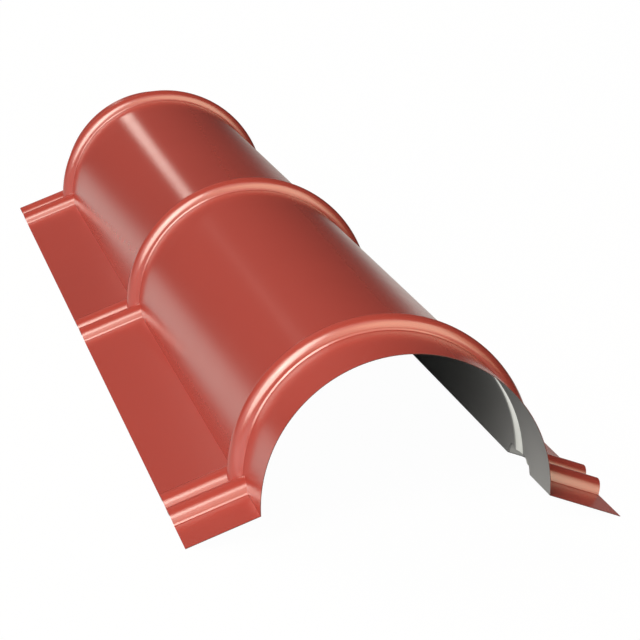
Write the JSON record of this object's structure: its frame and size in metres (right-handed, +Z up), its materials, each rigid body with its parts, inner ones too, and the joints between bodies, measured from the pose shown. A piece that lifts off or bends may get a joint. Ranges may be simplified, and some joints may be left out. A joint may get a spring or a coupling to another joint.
{
  "type": "metal ridge cap",
  "caption": "Half-round ridge cap pressed from coated steel sheet, with a sloping flange along each side and stiffening beads across the arch and flanges.",
  "frame": {"origin": "middle of the length and width, on the level floor that the edges of the flanges rest on", "axes": "+Y along the ridge towards the end with the short plain lip, +X across the ridge, +Z up through the crown of the arch"},
  "size_m": [0.3376, 1.2, 0.1466],
  "materials": {
    "painted_steel": "satin oxide-red coating outside, grey backing coat inside"
  },
  "bodies": {
    "root": {"ridge_cap": "painted_steel"}
  },
  "joints": []
}
